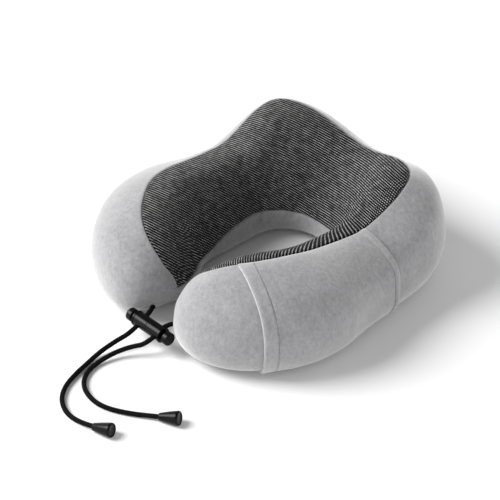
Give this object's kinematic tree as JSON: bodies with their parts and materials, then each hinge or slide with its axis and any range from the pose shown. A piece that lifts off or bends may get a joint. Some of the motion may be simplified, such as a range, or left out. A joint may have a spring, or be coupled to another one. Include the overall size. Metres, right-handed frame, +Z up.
{
  "type": "u shaped neck pillow",
  "caption": "U shaped memory foam neck pillow with a grey velour cover, dark ribbed knit inside, an arm pocket and a drawcord with a barrel lock and bell ends.",
  "frame": {"origin": "on the floor, under the middle of the pillow without its cords", "axes": "+Z up, the opening faces -Y, the pocket is on the +X arm"},
  "size_m": [0.2743, 0.4104, 0.1109],
  "materials": {
    "velour": "matte",
    "ribbed_knit": "matte",
    "base_cloth": "matte",
    "liner_jersey": "matte",
    "foam": "matte",
    "elastic": "matte",
    "zip_tape": "matte",
    "zip_coil": "satin",
    "zip_metal": "satin",
    "cord": "matte",
    "lock_plastic": "satin",
    "spring_steel": "satin"
  },
  "bodies": {
    "pillow": {"foam_core": "foam", "core_liner": "liner_jersey", "outer_panel": "velour", "mesh_panel": "ribbed_knit", "inner_panel": "velour", "bottom_panel": "base_cloth", "pocket_panel": "velour", "pocket_hem_front": "velour", "pocket_hem_rear": "velour", "pocket_elastic": "elastic", "zipper_tape_upper": "zip_tape", "zipper_tape_lower": "zip_tape", "zipper_coil_upper": "zip_coil", "zipper_coil_lower": "zip_coil", "zipper_stop_left": "zip_metal", "zipper_stop_right": "zip_metal", "drawcord_left": "cord", "drawcord_right": "cord", "lock_housing_left": "lock_plastic", "lock_housing_right": "lock_plastic", "lock_spring": "spring_steel", "cord_bell_left": "lock_plastic", "cord_bell_right": "lock_plastic", "bell_plug_left": "lock_plastic", "bell_plug_right": "lock_plastic"},
    "lock_button_left": {"lock_button_left": "lock_plastic"},
    "lock_button_right": {"lock_button_right": "lock_plastic"},
    "zipper_slider": {"zipper_slider": "zip_metal"},
    "zipper_pull": {"zipper_pull": "zip_metal"}
  },
  "joints": [
    {"name": "press_left_button", "type": "slide", "parent": "pillow", "child": "lock_button_left", "axis": [1, 0, 0], "range_m": [0, 0.002], "stiffness_N_per_m": 600},
    {"name": "press_right_button", "type": "slide", "parent": "pillow", "child": "lock_button_right", "axis": [-1, 0, 0], "range_m": [0, 0.002], "stiffness_N_per_m": 600},
    {"name": "zip_travel", "type": "hinge", "parent": "pillow", "child": "zipper_slider", "pos_m": [0, -0.36, 0.02], "axis": [0, 0, -1], "range_deg": [0, 12.49]},
    {"name": "pull_flip", "type": "hinge", "parent": "zipper_slider", "child": "zipper_pull", "pos_m": [-0.05498, 0.14144, 0.02], "axis": [0, 0, 1], "range_deg": [0, 170]}
  ]
}
